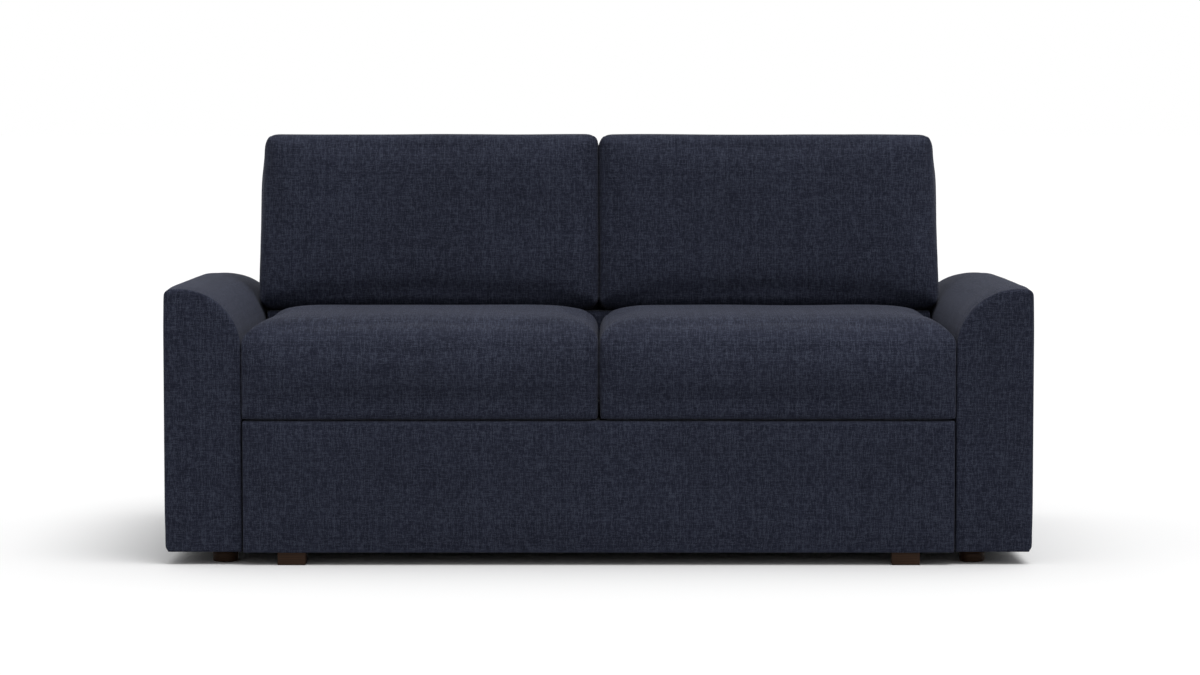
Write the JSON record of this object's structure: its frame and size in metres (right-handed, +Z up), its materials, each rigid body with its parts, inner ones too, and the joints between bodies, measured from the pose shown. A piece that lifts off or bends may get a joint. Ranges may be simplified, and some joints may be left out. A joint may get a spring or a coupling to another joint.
{
  "type": "sleeper sofa",
  "caption": "Two-seat upholstered sofa whose front panel and seat lift forward on links and unfold in three sections into a level foam bed.",
  "frame": {"origin": "on the floor at the middle of the closed sofa's footprint", "axes": "+X to the right as seen from the front, -Y to the front, +Z up"},
  "size_m": [1.829, 0.98, 0.9019],
  "materials": {
    "sofa_fabric": "woven, matt",
    "frame_wood": "planed, unfinished",
    "foot_wood": "dark stain, satin",
    "dust_fabric": "non-woven, matt",
    "bed_web": "woven, matt",
    "mattress_ticking": "woven, matt",
    "cushion_foam": "open-cell foam",
    "cushion_fill": "fibre fill",
    "black_steel": "powder coat, satin",
    "zinc_steel": "zinc plated",
    "glide_plastic": "moulded"
  },
  "bodies": {
    "sofa_base": {"left_arm_cover": "sofa_fabric", "right_arm_cover": "sofa_fabric", "left_arm_frame": "frame_wood", "right_arm_frame": "frame_wood", "back_cover": "sofa_fabric", "back_frame": "frame_wood", "rear_deck_cover": "sofa_fabric", "rear_deck_board": "frame_wood", "deck_cleats": "frame_wood", "left_side_rail": "frame_wood", "right_side_rail": "frame_wood", "base_cross_rails": "frame_wood", "dust_cloth": "dust_fabric", "front_left_foot": "foot_wood", "front_right_foot": "foot_wood", "rear_left_foot": "foot_wood", "rear_right_foot": "foot_wood", "foot_bolts": "zinc_steel", "rail_bolts": "zinc_steel", "left_front_link_bracket": "black_steel", "right_front_link_bracket": "black_steel", "left_rear_link_bracket": "black_steel", "right_rear_link_bracket": "black_steel", "base_pivot_pins": "zinc_steel"},
    "front_links": {"left_front_link": "black_steel", "right_front_link": "black_steel"},
    "rear_links": {"left_rear_link": "black_steel", "right_rear_link": "black_steel"},
    "head_section": {"head_frame": "black_steel", "head_cloth": "bed_web", "head_mattress": "mattress_ticking", "head_hinge_plates": "black_steel", "turn_hinge_pins": "zinc_steel", "head_link_pins": "zinc_steel"},
    "middle_section": {"middle_frame": "black_steel", "middle_cloth": "bed_web", "middle_mattress": "mattress_ticking", "middle_turn_plates": "black_steel", "middle_fold_plates": "black_steel"},
    "middle_leg": {"middle_leg": "black_steel", "leg_glides": "glide_plastic"},
    "foot_section": {"foot_frame": "black_steel", "foot_cloth": "bed_web", "foot_mattress": "mattress_ticking", "foot_fold_plates": "black_steel", "fold_hinge_pins": "zinc_steel", "front_panel_board": "frame_wood", "front_panel_cover": "sofa_fabric", "left_block_foot": "foot_wood", "right_block_foot": "foot_wood", "panel_angles": "black_steel", "panel_bolts": "zinc_steel"},
    "left_seat_cushion": {"left_seat_cushion_cover": "sofa_fabric", "left_seat_cushion_foam": "cushion_foam"},
    "right_seat_cushion": {"right_seat_cushion_cover": "sofa_fabric", "right_seat_cushion_foam": "cushion_foam"},
    "left_back_cushion": {"left_back_cushion_cover": "sofa_fabric", "left_back_cushion_fill": "cushion_fill"},
    "right_back_cushion": {"right_back_cushion_cover": "sofa_fabric", "right_back_cushion_fill": "cushion_fill"}
  },
  "joints": [
    {"name": "bed_unfold", "type": "hinge", "parent": "head_section", "child": "middle_section", "pos_m": [0, -0.437, 0.1283], "axis": [1, 0, 0], "range_deg": [0, 180]},
    {"name": "front_link_swing", "type": "hinge", "parent": "sofa_base", "child": "front_links", "pos_m": [0, -0.38, 0.049], "axis": [1, 0, 0], "range_deg": [0, 105.96]},
    {"name": "head_level", "type": "hinge", "parent": "front_links", "child": "head_section", "pos_m": [0, -0.19569, 0.049], "axis": [1, 0, 0], "range_deg": [-105.96, 0]},
    {"name": "rear_link_swing", "type": "hinge", "parent": "sofa_base", "child": "rear_links", "pos_m": [0, 0.09999, 0.049], "axis": [1, 0, 0], "range_deg": [0, 105.96]},
    {"name": "foot_level", "type": "hinge", "parent": "middle_section", "child": "foot_section", "pos_m": [0, 0.09, 0.2169], "axis": [1, 0, 0], "range_deg": [-180, 0]},
    {"name": "leg_drop", "type": "hinge", "parent": "middle_section", "child": "middle_leg", "pos_m": [0, 0.05, 0.2076], "axis": [1, 0, 0], "range_deg": [-90, 0]},
    {"name": "left_seat_cushion_lift", "type": "slide", "parent": "foot_section", "child": "left_seat_cushion", "axis": [0, 0, 1], "range_m": [0, 0.35]},
    {"name": "right_seat_cushion_lift", "type": "slide", "parent": "foot_section", "child": "right_seat_cushion", "axis": [0, 0, 1], "range_m": [0, 0.35]},
    {"name": "left_back_cushion_lift", "type": "slide", "parent": "sofa_base", "child": "left_back_cushion", "axis": [0, 0, 1], "range_m": [0, 0.4]},
    {"name": "right_back_cushion_lift", "type": "slide", "parent": "sofa_base", "child": "right_back_cushion", "axis": [0, 0, 1], "range_m": [0, 0.4]}
  ],
  "couplings": [
    {"joint": "front_link_swing", "follows": "bed_unfold", "ratio": 0.58869},
    {"joint": "head_level", "follows": "bed_unfold", "ratio": -0.58869},
    {"joint": "rear_link_swing", "follows": "bed_unfold", "ratio": 0.58869},
    {"joint": "foot_level", "follows": "bed_unfold", "ratio": -1},
    {"joint": "leg_drop", "follows": "bed_unfold", "ratio": -0.5}
  ]
}
